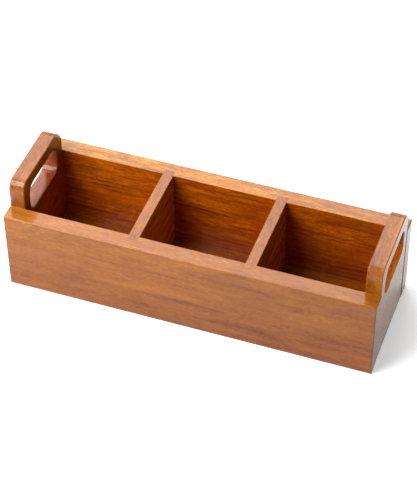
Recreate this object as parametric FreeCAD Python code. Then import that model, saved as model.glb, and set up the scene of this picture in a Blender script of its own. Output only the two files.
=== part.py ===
"""Wooden tea bag caddy: three open compartments and two raised end panels with finger slots.

Millimetres. The origin is at the middle of the underside. +X runs along the box to the right,
+Y to the back and +Z up. Each piece is written to parts/NODE.step in its place in the box.
"""
import FreeCAD, Part
import math
import os

V = FreeCAD.Vector

# The box
length = 300.0
width = 102.0
rim_height = 72.0
long_board_thickness = 14.0
end_panel_thickness = 12.7
end_panel_inset = 0.3  # the end panels stand back this far from the long boards' ends
divider_thickness = 9.0
base_thickness = 5.0
divider_shift = 1.0  # both dividers stand this far right of even spacing

# Joints in the wood
housing_depth = 5.0  # how far a divider's end is let into a long board
rebate_width = 5.0  # how far the base is let into the walls all round

# Handles: the part of each end panel that rises above the rim
handle_top = 96.0
handle_front_corner_radius = 8.5
handle_back_corner_radius = 14.0
slot_length = 53.0
slot_bottom = 60.0
slot_top = 85.0
slot_corner_radius = 8.0

# Eased edges
outer_edge_radius = 1.0
inner_edge_radius = 0.6
handle_edge_radius = 1.0

# Dowels in the four corner joints
dowel_radius = 3.0
dowel_length = 20.0
dowel_chamfer = 0.6
dowel_heights = (22.0, 48.0)
dowel_hole_in_board = 9.0
dowel_hole_in_panel = 12.0
dowel_glue_gap = 0.05

# Brads that pin the base from below
brad_radius = 0.6
brad_length = 16.0
brad_head_radius = 1.1
brad_head_thickness = 0.5
brad_recess = 0.3
brad_inset = 2.5  # from the base's edge
brads_per_long_side = 4
brad_spacing = 70.0
end_brad_y = 18.0

# Worked out from these
half_length = length / 2
half_width = width / 2
end_panel_outer = half_length - end_panel_inset
inner_half_length = end_panel_outer - end_panel_thickness
inner_half_width = half_width - long_board_thickness
clear_length = 2 * inner_half_length - 2 * divider_thickness
divider_pitch = clear_length / 3 + divider_thickness
divider_centres = {
    "left_divider": -divider_pitch / 2 + divider_shift,
    "right_divider": divider_pitch / 2 + divider_shift,
}
base_half_length = inner_half_length + rebate_width
base_half_width = inner_half_width + rebate_width
dowel_x = end_panel_outer - end_panel_thickness / 2


def box(x0, x1, y0, y1, z0, z1):
    """A block between two corners."""
    return Part.makeBox(x1 - x0, y1 - y0, z1 - z0, V(x0, y0, z0))


def rod(radius, start, end):
    """A round rod between two points."""
    axis = end - start
    return Part.makeCylinder(radius, axis.Length, start, axis)


def edge_waste(start, end, inward_a, inward_b, radius):
    """The sliver that easing a straight edge takes off.

    inward_a and inward_b are unit vectors that point from the edge into the wood, along the two
    faces that meet there. The sliver reaches a little past both faces, so that it cuts cleanly.
    """
    past = 0.5
    centre = start + (inward_a + inward_b) * radius
    foot_a = start + inward_a * radius
    foot_b = start + inward_b * radius
    middle = centre - (inward_a + inward_b) * (radius / math.sqrt(2))
    out_a = foot_a - inward_b * past
    out_b = foot_b - inward_a * past
    corner = start - (inward_a + inward_b) * past
    outline = Part.Wire([
        Part.Arc(foot_a, middle, foot_b).toShape(),
        Part.makeLine(foot_b, out_b),
        Part.makeLine(out_b, corner),
        Part.makeLine(corner, out_a),
        Part.makeLine(out_a, foot_a),
    ])
    return Part.Face(outline).extrude(end - start)


def rounded_outline(y0, y1, z0, z1, radii, x):
    """A closed outline in the plane at x, with its own radius at each corner.

    radii goes bottom left, bottom right, top right, top left, and 0 keeps a corner sharp.
    """
    corners = [V(x, y0, z0), V(x, y1, z0), V(x, y1, z1), V(x, y0, z1)]
    into = [V(0, 1, 0), V(0, 0, 1), V(0, -1, 0), V(0, 0, -1)]
    edges = []
    previous_end = None
    first_start = None
    for index, (corner, radius) in enumerate(zip(corners, radii)):
        arrive = corner + into[index - 1] * -radius
        leave = corner + into[index] * radius
        if previous_end is None:
            first_start = arrive
        else:
            edges.append(Part.makeLine(previous_end, arrive))
        if radius > 0:
            centre = corner + (into[index] - into[index - 1]) * radius
            middle = centre + (corner - centre) * (1 / math.sqrt(2))
            edges.append(Part.Arc(arrive, middle, leave).toShape())
        previous_end = leave
    edges.append(Part.makeLine(previous_end, first_start))
    return Part.Wire(edges)


def dowel_sites():
    """Each dowel's height, its end of the box and its side, as (z, sign of x, sign of y)."""
    return [(z, side_x, side_y) for z in dowel_heights for side_x in (-1, 1) for side_y in (-1, 1)]


def brad_sites():
    """Where the brads enter the base, as (x, y)."""
    sites = []
    line_y = base_half_width - brad_inset
    line_x = base_half_length - brad_inset
    for number in range(brads_per_long_side):
        x = (number - (brads_per_long_side - 1) / 2) * brad_spacing
        sites.append((x, -line_y))
        sites.append((x, line_y))
    for side_x in (-1, 1):
        for side_y in (-1, 1):
            sites.append((side_x * line_x, side_y * end_brad_y))
    return sites


def brad(x, y):
    """One brad, its head just inside the underside of the base."""
    neck = brad_recess + brad_head_thickness
    head = rod(brad_head_radius, V(x, y, brad_recess), V(x, y, neck))
    shank = rod(brad_radius, V(x, y, neck), V(x, y, brad_recess + brad_length))
    return head.fuse(shank).removeSplitter()


def brad_hole(x, y):
    """The hole that a brad and its set head leave in the wood."""
    neck = brad_recess + brad_head_thickness
    head = rod(brad_head_radius, V(x, y, -1), V(x, y, neck))
    shank = rod(brad_radius, V(x, y, 0), V(x, y, brad_recess + brad_length))
    return head.fuse(shank)


def all_brad_holes():
    return Part.makeCompound([brad_hole(x, y) for x, y in brad_sites()])


def base_block():
    """The space that the base fills, which is also the rebate in the four walls."""
    return box(-base_half_length, base_half_length, -base_half_width, base_half_width, 0, base_thickness)


def divider_block(centre):
    """A divider's whole board, ends and all."""
    half = divider_thickness / 2
    reach = inner_half_width + housing_depth
    return box(centre - half, centre + half, -reach, reach, base_thickness, rim_height)


def compartment_spans():
    """The clear stretches along the box, as (x start, x end)."""
    half = divider_thickness / 2
    left = divider_centres["left_divider"]
    right = divider_centres["right_divider"]
    return [
        (-inner_half_length, left - half),
        (left + half, right - half),
        (right + half, inner_half_length),
    ]


def front_board():
    """A long wall with its outer edges eased, housings for the dividers, a rebate and dowel holes."""
    outer = -half_width
    inner = -inner_half_width
    board = box(-half_length, half_length, outer, inner, 0, rim_height)
    x_in = V(1, 0, 0)
    y_in = V(0, 1, 0)
    up = V(0, 0, 1)
    radius = outer_edge_radius
    waste = [
        edge_waste(V(-half_length, outer, rim_height), V(half_length, outer, rim_height), y_in, -up, radius),
        edge_waste(V(-half_length, outer, 0), V(half_length, outer, 0), y_in, up, radius),
        edge_waste(V(-half_length, outer, 0), V(-half_length, outer, rim_height), y_in, x_in, radius),
        edge_waste(V(half_length, outer, 0), V(half_length, outer, rim_height), y_in, -x_in, radius),
    ]
    for end in (-1, 1):
        x = end * half_length
        inward = x_in * -end
        waste.append(edge_waste(V(x, outer, rim_height), V(x, inner, rim_height), inward, -up, radius))
    for x0, x1 in compartment_spans():
        waste.append(
            edge_waste(V(x0, inner, rim_height), V(x1, inner, rim_height), -y_in, -up, inner_edge_radius)
        )
    for piece in waste:
        board = board.cut(piece)
    for centre in divider_centres.values():
        board = board.cut(divider_block(centre))
    board = board.cut(base_block())
    for z, side_x, side_y in dowel_sites():
        if side_y < 0:
            x = side_x * dowel_x
            board = board.cut(rod(dowel_radius, V(x, inner - dowel_hole_in_board, z), V(x, inner, z)))
    return board.cut(all_brad_holes())


def back_board():
    """The front board's mirror image."""
    return front_board().mirror(V(0, 0, 0), V(0, 1, 0))


def right_end_panel():
    """An end wall between the long boards, rising above the rim as a handle with a finger slot.

    Every edge of the handle and of its slot is rounded over. Below the rim, where the panel is
    glued between the long boards, its upright edges stay square.
    """
    inner = inner_half_length
    side = inner_half_width
    corners = (0, 0, handle_back_corner_radius, handle_front_corner_radius)
    outline = rounded_outline(-side, side, 0, handle_top, corners, inner)
    slot = rounded_outline(
        -slot_length / 2, slot_length / 2, slot_bottom, slot_top, (slot_corner_radius,) * 4, inner
    )
    across = V(end_panel_thickness, 0, 0)
    panel = Part.Face(outline).extrude(across).cut(Part.Face(slot).extrude(across))
    panel = panel.makeFillet(handle_edge_radius, [e for e in panel.Edges if is_handle_edge(e)])
    for start in (-side, side - handle_edge_radius):
        panel = panel.fuse(box(inner, end_panel_outer, start, start + handle_edge_radius, 0, rim_height))
    panel = panel.removeSplitter()
    for z, side_x, side_y in dowel_sites():
        if side_x > 0:
            mouth = V(dowel_x, side_y * inner_half_width, z)
            bottom = V(dowel_x, side_y * (inner_half_width - dowel_hole_in_panel), z)
            panel = panel.cut(rod(dowel_radius, bottom, mouth))
    panel = panel.cut(base_block())
    return panel.cut(all_brad_holes())


def is_handle_edge(edge):
    """True for the edges round the panel's two broad faces and its slot, all but those at its foot."""
    bounds = edge.BoundBox
    lies_on_a_broad_face = bounds.XLength < 1e-6
    is_at_the_foot = bounds.ZMax < 1e-6
    return lies_on_a_broad_face and not is_at_the_foot


def left_end_panel():
    """The right end panel's mirror image."""
    return right_end_panel().mirror(V(0, 0, 0), V(1, 0, 0))


def divider(centre):
    """A board across the box, its top edges eased between the long boards, its ends left square."""
    board = divider_block(centre)
    half = divider_thickness / 2
    for side in (-1, 1):
        x = centre + side * half
        board = board.cut(
            edge_waste(
                V(x, -inner_half_width, rim_height), V(x, inner_half_width, rim_height),
                V(-side, 0, 0), V(0, 0, -1), inner_edge_radius,
            )
        )
    return board


def base_panel():
    """The floor, let into the walls all round and flush with their undersides."""
    return base_block().cut(all_brad_holes())


def panel_dowels():
    """Two dowels in each corner joint, chamfered at both ends."""
    dowels = []
    radius = dowel_radius - dowel_glue_gap
    slack = (dowel_hole_in_board + dowel_hole_in_panel - dowel_length) / 2
    for z, side_x, side_y in dowel_sites():
        x = side_x * dowel_x
        outer_end = side_y * (inner_half_width + dowel_hole_in_board - slack)
        inner_end = side_y * (inner_half_width - dowel_hole_in_panel + slack)
        plain = rod(radius, V(x, inner_end, z), V(x, outer_end, z))
        rims = [e for e in plain.Edges if isinstance(e.Curve, Part.Circle)]
        dowels.append(plain.makeChamfer(dowel_chamfer, rims))
    return Part.makeCompound(dowels)


def base_brads():
    return Part.makeCompound([brad(x, y) for x, y in brad_sites()])


def build():
    pieces = {
        "front_board": front_board(),
        "back_board": back_board(),
        "left_end_panel": left_end_panel(),
        "right_end_panel": right_end_panel(),
        "base_panel": base_panel(),
        "panel_dowels": panel_dowels(),
        "base_brads": base_brads(),
    }
    for name, centre in divider_centres.items():
        pieces[name] = divider(centre)
    return pieces


os.makedirs("parts", exist_ok=True)
for name, shape in build().items():
    shape.exportStep("parts/" + name + ".step")
    solids = len(shape.Solids)
    print(f"{name}: {solids} solid(s), {shape.Volume / 1000:.2f} cm3, valid {shape.isValid()}")
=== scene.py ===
# %% [markdown]
# # A wooden tea bag caddy
# The object is a long open box of oiled hardwood: seven boards, glued together, with three
# compartments and a raised end panel with a finger slot at each end. The boards come from the CAD
# model as they are. Blender gives them their wood and their light, and makes the small hardware
# that holds the box together. Lengths below are in metres, unless a name ends in mm.

# %% The frame
import math

import bpy
from mathutils import Matrix, Vector


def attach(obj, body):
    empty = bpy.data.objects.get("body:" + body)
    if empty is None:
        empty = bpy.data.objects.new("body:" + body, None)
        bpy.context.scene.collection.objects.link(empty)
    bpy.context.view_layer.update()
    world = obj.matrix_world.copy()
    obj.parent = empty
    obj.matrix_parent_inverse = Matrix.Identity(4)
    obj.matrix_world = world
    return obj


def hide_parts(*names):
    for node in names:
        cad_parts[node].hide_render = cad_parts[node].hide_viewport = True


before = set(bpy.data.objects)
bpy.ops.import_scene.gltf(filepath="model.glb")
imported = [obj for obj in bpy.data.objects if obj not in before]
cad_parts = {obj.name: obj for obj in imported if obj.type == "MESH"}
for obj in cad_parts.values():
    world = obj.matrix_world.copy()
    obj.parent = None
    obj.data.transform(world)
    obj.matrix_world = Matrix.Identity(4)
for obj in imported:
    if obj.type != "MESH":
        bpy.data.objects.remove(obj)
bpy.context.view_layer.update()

# %% [markdown]
# ## Three helpers
# A node tree is easier to read when each node is one line that says what it is, how it is set and
# what feeds it. Every material starts from an empty tree. Colours are written as sRGB hex values,
# as a paint chart gives them, and Blender wants them linear, so one function turns them.


# %% Helpers
def add_node(tree, kind, settings=(), stops=(), **inputs):
    """Adds a node. An input is named by its index as in_0, and takes a number or another node's socket."""
    node = tree.nodes.new(kind)
    for name, value in dict(settings).items():
        setattr(node, name, value)
    for name, value in inputs.items():
        socket = node.inputs[int(name[3:])]
        if isinstance(value, bpy.types.NodeSocket):
            tree.links.new(value, socket)
        else:
            socket.default_value = value
    for number, (place, colour) in enumerate(stops):
        if number > 1:
            node.color_ramp.elements.new(place)
        node.color_ramp.elements[number].position = place
        node.color_ramp.elements[number].color = colour
    return node


def empty_material(name):
    """A new material and its tree, with nothing in it yet."""
    material = bpy.data.materials.new(name)
    material.use_nodes = True
    material.node_tree.nodes.clear()
    return material, material.node_tree


def linear(hex_colour):
    """An sRGB hex colour as linear red, green, blue and alpha."""
    parts = [int(hex_colour[i:i + 2], 16) / 255 for i in (1, 3, 5)]
    return tuple(c / 12.92 if c <= 0.04045 else ((c + 0.055) / 1.055) ** 2.4 for c in parts) + (1.0,)


# %% [markdown]
# ## Camera
# The box is seen from a little right of its front and from well above, through a long lens that
# hardly makes its far end smaller. A camera placed by eye would leave every edge a little off. This
# one was fitted: its place, its turn and its lens come from the box's straight edges.

# %% Camera
lens_data = bpy.data.cameras.new("camera")
lens_data.lens = 126.4
lens_data.sensor_width = 36.0
camera = bpy.data.objects.new("camera", lens_data)
bpy.context.scene.collection.objects.link(camera)
camera_right = Vector((0.9424985, 0.3341699, -0.0052035))
camera_up = Vector((-0.2300014, 0.6598388, 0.7153405))
camera_back = Vector((0.2424788, -0.6730106, 0.6987566))
camera_turn = Matrix((camera_right, camera_up, camera_back)).transposed().to_4x4()
camera.matrix_world = Matrix.Translation((0.33577, -0.92968, 1.00283)) @ camera_turn
bpy.context.scene.camera = camera
print("lens", lens_data.lens, "mm")

# %% [markdown]
# ## Floor
# The box stands on matt white paper whose edges can't be seen. A photographer bends the paper up
# behind the object, but this camera looks down and never meets the horizon, so a flat plane does.
# To the camera, and nearly as much in reflections, the paper glows a little. So it runs out to
# plain white, while the light that it throws back and the soft grey shadow beside the box stay as
# they are. It lies a hair under the box, so that no two faces share one plane.

# %% Floor
bpy.context.scene.view_settings.view_transform = "Standard"
FLOOR_REACH = 6.0
FLOOR_DROP = 0.0002
FLOOR_COLOUR = linear("#F5F7F9")
FLOOR_GLOW = (0.45, 0.48, 0.49, 1.0)
GLOW_IN_REFLECTIONS = 0.8

corner_signs = ((-1, -1), (1, -1), (1, 1), (-1, 1))
floor_corners = [(x * FLOOR_REACH, y * FLOOR_REACH, -FLOOR_DROP) for x, y in corner_signs]
floor_mesh = bpy.data.meshes.new("floor")
floor_mesh.from_pydata(floor_corners, [], [(0, 1, 2, 3)])
floor = bpy.data.objects.new("floor", floor_mesh)
bpy.context.scene.collection.objects.link(floor)

paper, tree = empty_material("matt_white_paper")
matt = add_node(tree, "ShaderNodeBsdfDiffuse", in_0=FLOOR_COLOUR)
ray = add_node(tree, "ShaderNodeLightPath").outputs
seen = add_node(
    tree, "ShaderNodeMath", {"operation": "MULTIPLY_ADD"},
    in_0=ray["Is Glossy Ray"], in_1=GLOW_IN_REFLECTIONS, in_2=ray["Is Camera Ray"],
)
glow = add_node(tree, "ShaderNodeEmission", in_0=FLOOR_GLOW, in_1=seen.outputs[0])
both = add_node(tree, "ShaderNodeAddShader", in_0=matt.outputs[0], in_1=glow.outputs[0])
add_node(tree, "ShaderNodeOutputMaterial", in_0=both.outputs[0])
floor_mesh.materials.append(paper)
print("floor", 2 * FLOOR_REACH, "m across")

# %% [markdown]
# ## White room
# Past the paper there is only a plain room. Lit white all round, it would wash the shadows out. So
# it is white only to rays that the camera sends, straight, by reflection or through glass, and
# lights the box with a tenth of that.

# %% White room
AMBIENT = 0.10
world = bpy.data.worlds.new("studio")
world.use_nodes = True
bpy.context.scene.world = world
tree = world.node_tree
tree.nodes.clear()
ray = add_node(tree, "ShaderNodeLightPath").outputs
seen = ray["Is Camera Ray"]
for other in ("Is Glossy Ray", "Is Transmission Ray"):
    seen = add_node(tree, "ShaderNodeMath", {"operation": "MAXIMUM"}, in_0=seen, in_1=ray[other]).outputs[0]
room = add_node(
    tree, "ShaderNodeMix", {"data_type": "RGBA"}, in_0=seen, in_6=(AMBIENT,) * 3 + (1,), in_7=(1, 1, 1, 1)
)
glow = add_node(tree, "ShaderNodeBackground", in_0=room.outputs[2], in_1=1.0)
add_node(tree, "ShaderNodeOutputWorld", in_0=glow.outputs[0])
print("ambient light", AMBIENT)

# %% [markdown]
# ## Studio light
# Three soft lights. One sun would give hard shadows, and a bright sky none. Round softboxes near
# the object give what a studio gives. The key is 0.9 m across, high at the front left and so near
# that the shadow to the right of the box, and the slanting one in each compartment, have wide soft
# edges. A second softbox hangs over the box and lights its rims and the floor beside it. The third
# is a large white panel behind and above the box: the camera sees its reflection in the flat tops
# of the boards, and that pale sheen is what makes the wood look oiled.


# %% Studio light
AIM_HEIGHT = 0.04


def soft_light(name, towards, distance, size, radiance):
    """A soft light that shines at the box from that direction, its width level with the box's length."""
    lamp = bpy.data.lights.new(name, "AREA")
    lamp.shape = "ELLIPSE"
    lamp.size, lamp.size_y = size
    lamp.energy = radiance * math.pi * size[0] * size[1]
    stand = bpy.data.objects.new(name, lamp)
    bpy.context.scene.collection.objects.link(stand)
    direction = Vector(towards).normalized()
    level = (Vector((1, 0, 0)) - direction * direction.x).normalized()
    turn = Matrix((level, direction.cross(level), direction)).transposed().to_4x4()
    stand.matrix_world = Matrix.Translation(Vector((0, 0, AIM_HEIGHT)) + direction * distance) @ turn
    stand.visible_camera = False
    print(name, "at", [round(v, 2) for v in stand.matrix_world.translation], "radiance", radiance)


soft_light("key", (-0.473, -0.473, 0.743), 1.15, (0.9, 0.9), 7.8)
soft_light("back_panel", (-0.243, 0.673, 0.699), 2.0, (1.15, 1.15), 3.0)
soft_light("top", (-0.2, 0.25, 0.95), 1.2, (0.8, 0.8), 3.0)

# %% [markdown]
# ## Oiled teak
# Each board is its own cut of teak, sanded fine and finished with a satin oil. The eye sees a warm
# golden brown ground, soft growth rings, streaks of fine fibre, short dark pores, patches that lean
# to pink or to orange, and a pale sheen. A flat picture of veneer would have to be unwrapped onto
# every face. Here the pattern is solid instead: it fills the whole board in three dimensions, so
# the lines on a face and on the edge beside it belong together, as in real wood.
#
# Most layers of it are noise, stretched along the fibre to a size in millimetres, and added up with
# a weight each.


# %% Stretched patterns
def stretched_pattern(tree, place, size_mm, detail, evenness=0.6):
    """Blotches that have that size along X, Y and Z. detail adds finer ones, evenness their strength."""
    scaled = add_node(tree, "ShaderNodeMapping", in_0=place, in_3=tuple(1 / s for s in size_mm))
    return add_node(tree, "ShaderNodeTexNoise", in_0=scaled.outputs[0], in_2=1.0, in_3=detail, in_4=evenness)


def add_up(tree, start, layers):
    """start plus every layer's socket times its weight."""
    total = start
    for socket, weight in layers:
        total = add_node(
            tree, "ShaderNodeMath", {"operation": "MULTIPLY_ADD"}, in_0=socket, in_1=weight, in_2=total
        ).outputs[0]
    return total


# %% [markdown]
# ### A board's place in the log
# A board is a straight block, sawn from a tree that isn't quite straight. A point of the board is
# turned to millimetres, with X along the fibre, and moved to the board's own part of the log. Then
# a slow drift pushes it sideways, by 4 mm at most, so that every line that is made from it bends
# gently. Without the drift the lines would be ruler straight, as on a printed laminate.

# %% A board's place in the log
TO_MM = (1000, 1000, 1000)
DRIFT_SIZE_MM = (150.0, 45.0, 45.0)
DRIFT_MM = 4.0


def place_in_log(tree, place, turn, offset_mm):
    """A point's place in the log in mm, X along the fibre, with the slow drift."""
    board = add_node(
        tree, "ShaderNodeMapping", in_0=place, in_1=offset_mm, in_2=(0, 0, turn), in_3=TO_MM
    ).outputs[0]
    drift = stretched_pattern(tree, board, DRIFT_SIZE_MM, 1.0).outputs[1]
    drift = add_node(
        tree, "ShaderNodeVectorMath", {"operation": "MULTIPLY_ADD"},
        in_0=drift, in_1=(0, 2 * DRIFT_MM, 2 * DRIFT_MM), in_2=(0, -DRIFT_MM, -DRIFT_MM),
    )
    return add_node(tree, "ShaderNodeVectorMath", in_0=board, in_1=drift.outputs[0]).outputs[0]


# %% [markdown]
# ### Growth rings
# A plank cuts the tree's rings, which are tubes round its heart. The distance from the heart,
# divided by one year's growth, gives each point its year, and the part after the decimal point its
# season: the wood darkens towards the end of a season and starts pale again. Blender's Wave Texture
# draws tubes too, but all alike. Here each year has a strength of its own, and a line fades in and
# out along the board.

# %% Growth rings
SEASON_SHADES = ((0.0, (0, 0, 0, 1)), (0.45, (0.1, 0.1, 0.1, 1)), (0.86, (1, 1, 1, 1)), (1.0, (0, 0, 0, 1)))
RING_FADE_MM = (45.0, 9.0, 9.0)


def growth_rings(tree, log_place, ring_mm, heart_mm):
    """How dark the rings are at each point, from 0 to 1. heart_mm is the heart's place in Y and Z.

    A line is left out where the fade's noise is under 0.35, and is whole over 0.62.
    """
    from_heart = add_node(
        tree, "ShaderNodeVectorMath", {"operation": "MULTIPLY_ADD"},
        in_0=log_place, in_1=(0, 1, 1), in_2=(0, -heart_mm[0], -heart_mm[1]),
    )
    length = add_node(tree, "ShaderNodeVectorMath", {"operation": "LENGTH"}, in_0=from_heart.outputs[0])
    radius = length.outputs["Value"]
    age = add_node(tree, "ShaderNodeMath", {"operation": "DIVIDE"}, in_0=radius, in_1=ring_mm)
    year = add_node(tree, "ShaderNodeMath", {"operation": "FLOOR"}, in_0=age.outputs[0])
    season = add_node(tree, "ShaderNodeMath", {"operation": "FRACT"}, in_0=age.outputs[0])
    dark = add_node(tree, "ShaderNodeValToRGB", in_0=season.outputs[0], stops=SEASON_SHADES)
    vigour = add_node(tree, "ShaderNodeTexWhiteNoise", {"noise_dimensions": "1D"}, in_1=year.outputs[0])
    fade = stretched_pattern(tree, log_place, RING_FADE_MM, 1.0)
    fade = add_node(tree, "ShaderNodeMapRange", in_0=fade.outputs[0], in_1=0.35, in_2=0.62)
    strength = add_node(
        tree, "ShaderNodeMath", {"operation": "MULTIPLY"}, in_0=vigour.outputs[0], in_1=fade.outputs[0]
    )
    return add_node(
        tree, "ShaderNodeMath", {"operation": "MULTIPLY"}, in_0=dark.outputs[0], in_1=strength.outputs[0]
    ).outputs[0]


# %% [markdown]
# ### Dark bands
# A board also has a few streaks of its own that run its whole length. They could be painted, but
# each is simple enough for three numbers: a height on the board, a half width and a change of tone,
# which fades out to both sides.

# %% Dark bands
BAND_WEAR_MM = (70.0, 14.0, 14.0)


def dark_bands(tree, log_place, bands):
    """Each band's shape, 1 along its middle and 0 past its half width, with its tone.

    A band wears away where the noise is under 0.32, and is whole over 0.58.
    """
    height = add_node(tree, "ShaderNodeSeparateXYZ", in_0=log_place).outputs[2]
    wear = stretched_pattern(tree, log_place, BAND_WEAR_MM, 1.0)
    wear = add_node(tree, "ShaderNodeMapRange", in_0=wear.outputs[0], in_1=0.32, in_2=0.58)
    layers = []
    for middle, half_width, tone in bands:
        off = add_node(tree, "ShaderNodeMath", {"operation": "SUBTRACT"}, in_0=height, in_1=middle)
        off = add_node(tree, "ShaderNodeMath", {"operation": "ABSOLUTE"}, in_0=off.outputs[0])
        shape = add_node(
            tree, "ShaderNodeMapRange", {"interpolation_type": "SMOOTHSTEP"},
            in_0=off.outputs[0], in_1=half_width, in_2=0.0,
        )
        shape = add_node(
            tree, "ShaderNodeMath", {"operation": "MULTIPLY"}, in_0=shape.outputs[0], in_1=wear.outputs[0]
        )
        layers.append((shape.outputs[0], tone))
    return layers


# %% [markdown]
# ### Inside the compartments
# Inside the narrow compartments and the finger slots the colour is multiplied, as painted shade for
# the shade that falls deep in these spaces: the walls there turn deeper and redder, and the base a
# deeper brown. The dividers' faces in there, which lie in shade, are made paler and golden instead:
# painted light. A second material on the inside faces would need cut up meshes. But each of these
# spaces is a plain block, given by two of its corners on the right half of the box, so a test on the
# place of a point tells whether it is inside.

# %% Inside the compartments
# Each block's low and high corner. A low corner of -1 reaches past the middle of the box.
SHADED_WELLS_MM = (((-1, -1, -1), (137.2, 37.2, 71.3)), ((138.2, -1, 59.7), (148.6, 26.8, 85.3)))


def painted_inside_share(tree, place):
    """Where painted shade goes: 1 in the compartments and the slots, 0 outside, on the rims and the handles.
    """
    mirrored = add_node(tree, "ShaderNodeVectorMath", {"operation": "ABSOLUTE"}, in_0=place)
    parts = add_node(tree, "ShaderNodeSeparateXYZ", in_0=mirrored.outputs[0]).outputs
    share = 0.0
    for corners in SHADED_WELLS_MM:
        within = 1.0
        for corner, side in zip(corners, ("GREATER_THAN", "LESS_THAN")):
            for axis, limit_mm in enumerate(corner):
                passed = add_node(
                    tree, "ShaderNodeMath", {"operation": side}, in_0=parts[axis], in_1=0.001 * limit_mm
                )
                within = add_node(
                    tree, "ShaderNodeMath", {"operation": "MULTIPLY"}, in_0=passed.outputs[0], in_1=within
                ).outputs[0]
        share = add_node(tree, "ShaderNodeMath", {"operation": "MAXIMUM"}, in_0=within, in_1=share).outputs[0]
    return share


# %% [markdown]
# ### Colour
# The layers add up to one tone, 0 for the darkest fibre and 1 for the palest, and a ramp turns it
# into a colour. Teak isn't only brown, so wide streaks of pink and of orange are mixed in. Both
# come from one slow noise, the pink where it is high and the orange where it is low, so the two
# never meet. Inside the compartments and the slots the colour is then multiplied: painted shade on
# the walls and the base, painted light on the dividers' shaded faces.

# %% Colour
TEAK_TONES = (
    (0.00, linear("#501401")),
    (0.33, linear("#6F3004")),
    (0.67, linear("#9A5710")),
    (0.83, linear("#B47114")),
    (1.00, linear("#D1901F")),
)
STREAK_MM = (110.0, 11.0, 11.0)
# Each streak: where the noise starts it, where it is full, how much of it is mixed in, its colour.
STREAKS = (
    (0.50, 0.72, 0.25, linear("#B0683A")),
    (0.48, 0.28, 0.40, linear("#BF6E14")),
)
# Each of these multiplies the wood's red, green and blue inside the compartments and the slots.
# Under 1 it is painted shade; over 1, on the dividers' shaded faces, it is painted light.
INSIDE_PAINTED_SHADE = (0.97, 0.60, 0.25, 1.0)
BASE_PAINTED_SHADE = (1.0, 0.85, 0.08, 1.0)
DIVIDER_PAINTED_LIGHT = (1.70, 1.75, 0.85, 1.0)


def wood_colour(tree, place, log_place, tone, painted_inside):
    """The colour of a tone with its streaks, with painted shade and light in the compartments and slots."""
    colour = add_node(tree, "ShaderNodeValToRGB", in_0=tone, stops=TEAK_TONES).outputs[0]
    streak = stretched_pattern(tree, log_place, STREAK_MM, 2.0)
    for start, full, share, streak_colour in STREAKS:
        amount = add_node(
            tree, "ShaderNodeMapRange", in_0=streak.outputs[0], in_1=start, in_2=full, in_3=0.0, in_4=share
        )
        colour = add_node(
            tree, "ShaderNodeMix", {"data_type": "RGBA", "blend_type": "MIX"},
            in_0=amount.outputs[0], in_6=colour, in_7=streak_colour,
        ).outputs[2]
    return add_node(
        tree, "ShaderNodeMix", {"data_type": "RGBA", "blend_type": "MULTIPLY"},
        in_0=painted_inside_share(tree, place), in_6=colour, in_7=painted_inside,
    ).outputs[2]


# %% [markdown]
# ### Satin surface
# Fine sanding and oil leave a smooth face with a soft sheen, which is a low roughness. The pores
# stay open and dull, and they and the fibres dent the face by up to a tenth of a millimetre. Oil
# has an IOR near 1.47. It is lower here, matched to a sheen that is weaker than a closed film's,
# because the oil has soaked in.

# %% Satin surface
SATIN = 0.14
DULL_PORE = 0.26
DENT = 0.00012
SOAKED_OIL_IOR = 1.38


def satin_surface(tree, colour, grain, pores):
    """Joins the colour, the sheen and the dents into the board's surface."""
    rough = add_node(tree, "ShaderNodeMapRange", in_0=pores, in_1=0.0, in_2=1.0, in_3=SATIN, in_4=DULL_PORE)
    relief = add_up(tree, grain, [(pores, -0.5)])
    bump = add_node(tree, "ShaderNodeBump", in_0=0.5, in_1=DENT, in_3=relief)
    surface = add_node(
        tree, "ShaderNodeBsdfPrincipled", in_0=colour, in_2=rough.outputs[0], in_3=SOAKED_OIL_IOR
    )
    tree.links.new(bump.outputs[0], surface.inputs["Normal"])
    add_node(tree, "ShaderNodeOutputMaterial", in_0=surface.outputs[0])


# %% [markdown]
# ### One board
# Now one function can make any cut of the wood. One noise with several octaves of nearly the same
# strength is the fibre, from streaks 8 mm wide down to single fibres. A second one makes soft
# patches, a third short flecks, and a fourth the pores, which are its high spots, over 0.60. Real
# flecks and pores are about 0.2 mm wide, too fine to show at this distance, so they are drawn four
# times as coarse. Noise is 0.5 on average, so half of each weight is taken off again, and tone is
# then close to the tone that the eye sees.

# %% One board
GRAIN_MM = (50.0, 8.0, 8.0)
MOTTLE_MM = (16.0, 4.5, 4.5)
FLECK_MM = (3.2, 0.9, 0.9)
PORE_MM = (6.0, 0.9, 0.9)
MOTTLE_WEIGHT = 0.14
FLECK_WEIGHT = 0.46
PORE_WEIGHT = -0.07


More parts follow.
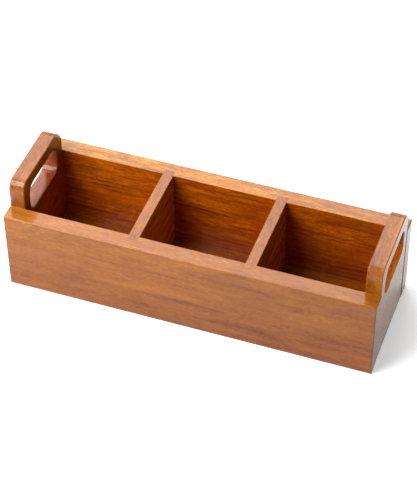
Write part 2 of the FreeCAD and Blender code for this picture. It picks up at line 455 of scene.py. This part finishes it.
def teak(
    name, middle, turn, offset_mm, ring_mm, heart_mm, line, tone,
    contrast=1.0, slope=(0, 0, 0), bands=(), painted_inside=INSIDE_PAINTED_SHADE,
):
    """One board's wood. tone is its tone in its middle, and slope the change of tone per metre from there."""
    material, tree = empty_material(name)
    place = add_node(tree, "ShaderNodeTexCoord").outputs["Object"]
    log_place = place_in_log(tree, place, turn, offset_mm)
    grain = stretched_pattern(tree, log_place, GRAIN_MM, 5.0, 0.95).outputs[0]
    pore = stretched_pattern(tree, log_place, PORE_MM, 1.0)
    pores = add_node(tree, "ShaderNodeMapRange", in_0=pore.outputs[0], in_1=0.60, in_2=0.72).outputs[0]
    lean = add_node(tree, "ShaderNodeVectorMath", {"operation": "DOT_PRODUCT"}, in_0=place, in_1=slope)
    layers = [
        (grain, contrast),
        (stretched_pattern(tree, log_place, MOTTLE_MM, 1.0).outputs[0], MOTTLE_WEIGHT * contrast),
        (stretched_pattern(tree, log_place, FLECK_MM, 1.0).outputs[0], FLECK_WEIGHT),
        (growth_rings(tree, log_place, ring_mm, heart_mm), -line),
        (pores, PORE_WEIGHT * contrast),
        (lean.outputs["Value"], 1.0),
    ] + dark_bands(tree, log_place, bands)
    average = 0.5 * ((1 + MOTTLE_WEIGHT) * contrast + FLECK_WEIGHT) + Vector(slope).dot(middle)
    shown_tone = add_up(tree, tone - average, layers)
    satin_surface(tree, wood_colour(tree, place, log_place, shown_tone, painted_inside), grain, pores)
    return material


# %% [markdown]
# ### The seven cuts
# One material on all boards would run on from each into the next, as if the box were carved from a
# block. So each board gets its own numbers: which way its fibre runs, where in the log it was cut,
# how wide its rings are and where their heart lies, how dark the lines are, and its tone and
# contrast. The front and the back are paler towards their tops and have bands of their own; on the
# back board the darker lower part is partly painted shade, low inside the compartments. The right
# end panel is paler towards its outer face, which is painted light on the side away from the key.
# The end panels and the dividers have their fibre across the box.

# %% The boards' wood
ALONG_X = 0.0
ALONG_Y = math.radians(-90)
# Each band: its height in mm, its half width in mm, and its change of tone.
FRONT_BANDS = ((52, 1.8, -0.16), (25, 4.0, -0.10), (13, 3.0, -0.12), (3, 3.0, 0.05))
BACK_BANDS = ((60, 1.6, -0.14), (47, 1.3, -0.16), (40, 1.3, -0.14), (26, 2.0, -0.12), (15, 2.0, -0.12))
boards = {
    "front_board": dict(
        turn=ALONG_X, offset_mm=(0, 0, 0), ring_mm=7.0, heart_mm=(10, 60), line=0.13,
        tone=0.595, contrast=0.75, slope=(-0.25, 0, 2.0), bands=FRONT_BANDS,
    ),
    # The back board grows darker towards its bottom; low inside the compartments this is partly painted
    # shade.
    "back_board": dict(
        turn=ALONG_X, offset_mm=(400, 0, 0), ring_mm=4.5, heart_mm=(-10, -120), line=0.38,
        tone=0.72, contrast=1.35, slope=(-0.5, 0, 2.0), bands=BACK_BANDS,
    ),
    "left_end_panel": dict(
        turn=ALONG_Y, offset_mm=(0, 300, 0), ring_mm=5.0, heart_mm=(100, 30), line=0.14,
        tone=0.57, contrast=1.5,
    ),
    # Paler towards the outer face and darker inwards: painted light on the side that faces away from the key.
    "right_end_panel": dict(
        turn=ALONG_Y, offset_mm=(0, -300, 0), ring_mm=5.0, heart_mm=(-100, 30), line=0.14,
        tone=0.63, contrast=1.3, slope=(20, 0, 0),
    ),
    # The dividers' faces inside the compartments lie in shade and are painted paler and golden: painted
    # light.
    "left_divider": dict(
        turn=ALONG_Y, offset_mm=(70, 0, 200), ring_mm=4.5, heart_mm=(40, 120), line=0.08,
        tone=0.60, contrast=1.5, painted_inside=DIVIDER_PAINTED_LIGHT,
    ),
    "right_divider": dict(
        turn=ALONG_Y, offset_mm=(170, 0, 400), ring_mm=4.5, heart_mm=(40, -120), line=0.08,
        tone=0.60, contrast=1.5, painted_inside=DIVIDER_PAINTED_LIGHT,
    ),
    # The base's multiplier inside the compartments is painted shade.
    "base_panel": dict(
        turn=ALONG_X, offset_mm=(900, 0, 0), ring_mm=6.0, heart_mm=(20, -60), line=0.20,
        tone=0.42, painted_inside=BASE_PAINTED_SHADE,
    ),
}
for name, cut in boards.items():
    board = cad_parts[name]
    middle = sum((board.matrix_world @ Vector(corner) for corner in board.bound_box), Vector()) / 8
    board.data.materials.clear()
    board.data.materials.append(teak("oiled_teak_" + name, middle, **cut))
print(len(boards), "boards have their wood")

# %% [markdown]
# ## Turned hardware
# Two kinds of small hardware hold the box together, and each repeats: twelve steel brads pin the
# base from below, and eight beech dowels sit inside the corner joints. Each could be built in mesh
# code and copied, but Geometry Nodes suit what repeats: one tree makes one piece from its sizes and
# sets a copy at every site. A brad and a dowel are both turned shapes, that is, a straight axis
# with a radius at each point along it, so one tree serves both. A row of points becomes the axis,
# each point carries its radius, and a profile is swept along: a circle for steel, and a star with
# many points for a fluted dowel.

# %% Turned hardware
ROUND_SIDES = 24
FLUTE_FLOOR = 0.93
TURN_SEED = 7


def turned_piece_tree(name, stations, flutes, axis, material):
    """A tree that sets turned pieces on its sites. Each station names two inputs: a place and a radius."""
    tree = bpy.data.node_groups.new(name, "GeometryNodeTree")
    tree.interface.new_socket("Sites", in_out="INPUT", socket_type="NodeSocketGeometry")
    for size_name in sorted({word for station in stations for word in station}):
        tree.interface.new_socket(size_name, in_out="INPUT", socket_type="NodeSocketFloat")
    tree.interface.new_socket("Pieces", in_out="OUTPUT", socket_type="NodeSocketGeometry")
    given = add_node(tree, "NodeGroupInput")

    index = add_node(tree, "GeometryNodeInputIndex").outputs[0]
    chosen = []
    for part in (0, 1):
        switch = add_node(tree, "GeometryNodeIndexSwitch", {"data_type": "FLOAT"})
        while len(switch.index_switch_items) < len(stations):
            switch.index_switch_items.new()
        tree.links.new(index, switch.inputs[0])
        for number, station in enumerate(stations):
            tree.links.new(given.outputs[station[part]], switch.inputs[number + 1])
        chosen.append(switch.outputs[0])
    along = add_node(tree, "ShaderNodeCombineXYZ", **{"in_%d" % axis: chosen[0]})
    row = add_node(tree, "GeometryNodePoints", in_0=len(stations), in_1=along.outputs[0])
    line = add_node(tree, "GeometryNodePointsToCurves", in_0=row.outputs[0])
    if flutes:
        profile = add_node(tree, "GeometryNodeCurveStar", in_0=flutes, in_1=FLUTE_FLOOR, in_2=1.0)
    else:
        profile = add_node(tree, "GeometryNodeCurvePrimitiveCircle", in_0=ROUND_SIDES, in_4=1.0)
    solid = add_node(
        tree, "GeometryNodeCurveToMesh",
        in_0=line.outputs[0], in_1=profile.outputs[0], in_2=chosen[1], in_3=True,
    )
    full_turn = [0.0] * 3
    full_turn[axis] = 2 * math.pi
    turn = add_node(
        tree, "FunctionNodeRandomValue", {"data_type": "FLOAT_VECTOR"},
        in_0=(0.0, 0.0, 0.0), in_1=tuple(full_turn), in_8=TURN_SEED,
    )
    copies = add_node(
        tree, "GeometryNodeInstanceOnPoints",
        in_0=given.outputs["Sites"], in_2=solid.outputs[0], in_5=turn.outputs[0],
    )
    real = add_node(tree, "GeometryNodeRealizeInstances", in_0=copies.outputs[0])
    finished = add_node(tree, "GeometryNodeSetMaterial", in_0=real.outputs[0], in_2=material)
    add_node(tree, "NodeGroupOutput", in_0=finished.outputs[0])
    return tree


# %% [markdown]
# A live modifier would leave the piece as points with a recipe. The export needs plain meshes, so
# the recipe is run once, its result kept, and the modifier taken off.


# %% Made into one mesh
def make_pieces(name, tree, sites_mm, sizes_mm):
    """Runs the tree on the sites and gives one plain mesh, in metres and in its place."""
    sites = bpy.data.meshes.new(name + "_sites")
    sites.from_pydata([tuple(0.001 * v for v in site) for site in sites_mm], [], [])
    piece = bpy.data.objects.new(name, sites)
    bpy.context.scene.collection.objects.link(piece)
    maker = piece.modifiers.new("turned pieces", "NODES")
    maker.node_group = tree
    for item in tree.interface.items_tree:
        if item.in_out == "INPUT" and item.name in sizes_mm:
            maker[item.identifier] = 0.001 * sizes_mm[item.name]
    bpy.context.view_layer.update()
    made = bpy.data.meshes.new_from_object(piece.evaluated_get(bpy.context.evaluated_depsgraph_get()))
    piece.modifiers.clear()
    piece.data = made
    print(name, "has", len(sites_mm), "pieces and", len(made.polygons), "faces")
    return piece


# %% [markdown]
# ## Brads
# A brad is a headed pin cut from drawn steel wire. It is bright, with a grey cast, and drawing
# leaves faint lines along it, 0.1 mm apart, drawn here at 0.3 mm so that they show. A metal gets its
# look from its colour and its roughness, and its IOR stays as it is.

# %% Drawn steel
WIRE_LINES_MM = (0.3, 0.3, 6.0)
steel, tree = empty_material("drawn_steel")
place = add_node(tree, "ShaderNodeTexCoord").outputs["Object"]
wire_mm = add_node(tree, "ShaderNodeMapping", in_0=place, in_3=TO_MM).outputs[0]
lines = stretched_pattern(tree, wire_mm, WIRE_LINES_MM, 2.0).outputs[0]
shade = add_node(
    tree, "ShaderNodeValToRGB", in_0=lines, stops=((0.3, linear("#9A9894")), (0.7, linear("#C4C2BE")))
)
rough = add_node(tree, "ShaderNodeMapRange", in_0=lines, in_1=0.3, in_2=0.7, in_3=0.28, in_4=0.42)
bump = add_node(tree, "ShaderNodeBump", in_0=0.4, in_1=0.00002, in_3=lines)
surface = add_node(tree, "ShaderNodeBsdfPrincipled", in_0=shade.outputs[0], in_1=1.0, in_2=rough.outputs[0])
tree.links.new(bump.outputs[0], surface.inputs["Normal"])
add_node(tree, "ShaderNodeOutputMaterial", in_0=surface.outputs[0])
print("steel lines every", WIRE_LINES_MM[0], "mm")

# %% [markdown]
# Each brad stands on its head, which sits just inside the underside of the base. The head is
# bevelled to its edge, and the shank ends in a point that went into the wood first. Eight brads go
# up into the long boards and two into each end panel.

# %% Brads
brad_stations = (
    ("Head Bottom", "Edge Radius"), ("Head Rim", "Head Radius"), ("Head Top", "Head Radius"),
    ("Head Top", "Shank Radius"), ("Shoulder", "Shank Radius"), ("Point", "Point Radius"),
)
brad_tree = turned_piece_tree("headed brads", brad_stations, 0, 2, steel)
brad_sites = [(x, y, 0) for x in (-105, -35, 35, 105) for y in (-39.5, 39.5)]
brad_sites += [(x, y, 0) for x in (-139.5, 139.5) for y in (-18, 18)]
brads = make_pieces("steel_brads", brad_tree, brad_sites, {
    "Head Bottom": 0.3, "Head Rim": 0.42, "Head Top": 0.8, "Shoulder": 14.6, "Point": 16.2,
    "Edge Radius": 0.95, "Head Radius": 1.08, "Shank Radius": 0.58, "Point Radius": 0.08,
})
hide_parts("base_brads")
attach(brads, "root")

# %% [markdown]
# ## Dowels
# The dowels are hidden once the box is glued, but they are part of it. They are beech, pale and
# plain with short brown flecks, a wood too even for rings to show. Pressing leaves it matt.

# %% Pressed beech
BEECH_FIBRE_MM = (1.0, 14.0, 1.0)
BEECH_FLECK_MM = (0.6, 2.5, 0.6)
beech, tree = empty_material("pressed_beech")
place = add_node(tree, "ShaderNodeTexCoord").outputs["Object"]
rod_mm = add_node(tree, "ShaderNodeMapping", in_0=place, in_3=TO_MM).outputs[0]
fibre = stretched_pattern(tree, rod_mm, BEECH_FIBRE_MM, 3.0).outputs[0]
fleck = stretched_pattern(tree, rod_mm, BEECH_FLECK_MM, 1.0)
flecks = add_node(tree, "ShaderNodeMapRange", in_0=fleck.outputs[0], in_1=0.62, in_2=0.70).outputs[0]
shade = add_node(
    tree, "ShaderNodeValToRGB", in_0=add_up(tree, 0.0, [(fibre, 1.0), (flecks, -0.4)]),
    stops=((0.1, linear("#A97C50")), (0.45, linear("#D3AF81")), (0.75, linear("#E2C59B"))),
)
bump = add_node(tree, "ShaderNodeBump", in_0=0.5, in_1=0.00005, in_3=fibre)
surface = add_node(tree, "ShaderNodeBsdfPrincipled", in_0=shade.outputs[0], in_2=0.55, in_3=1.5)
tree.links.new(bump.outputs[0], surface.inputs["Normal"])
add_node(tree, "ShaderNodeOutputMaterial", in_0=surface.outputs[0])
print("beech flecks", BEECH_FLECK_MM[1], "mm long")

# %% [markdown]
# Each dowel has twenty fine flutes that let the glue rise round it, and chamfered ends so that it
# starts easily. They lie along Y, two in each corner joint, 8.5 mm of each in the long board and
# the rest in the end panel.

# %% Dowels
DOWEL_FLUTES = 20
dowel_stations = (
    ("Near End", "End Radius"), ("Near Chamfer", "Radius"),
    ("Far Chamfer", "Radius"), ("Far End", "End Radius"),
)
dowel_tree = turned_piece_tree("fluted dowels", dowel_stations, DOWEL_FLUTES, 1, beech)
dowel_sites = [(x, y, z) for x in (-143.35, 143.35) for y in (-35.5, 35.5) for z in (22, 48)]
dowels = make_pieces("beech_dowels", dowel_tree, dowel_sites, {
    "Near End": -10.0, "Near Chamfer": -9.4, "Far Chamfer": 9.4, "Far End": 10.0,
    "End Radius": 2.35, "Radius": 2.93,
})
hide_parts("panel_dowels")
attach(dowels, "root")
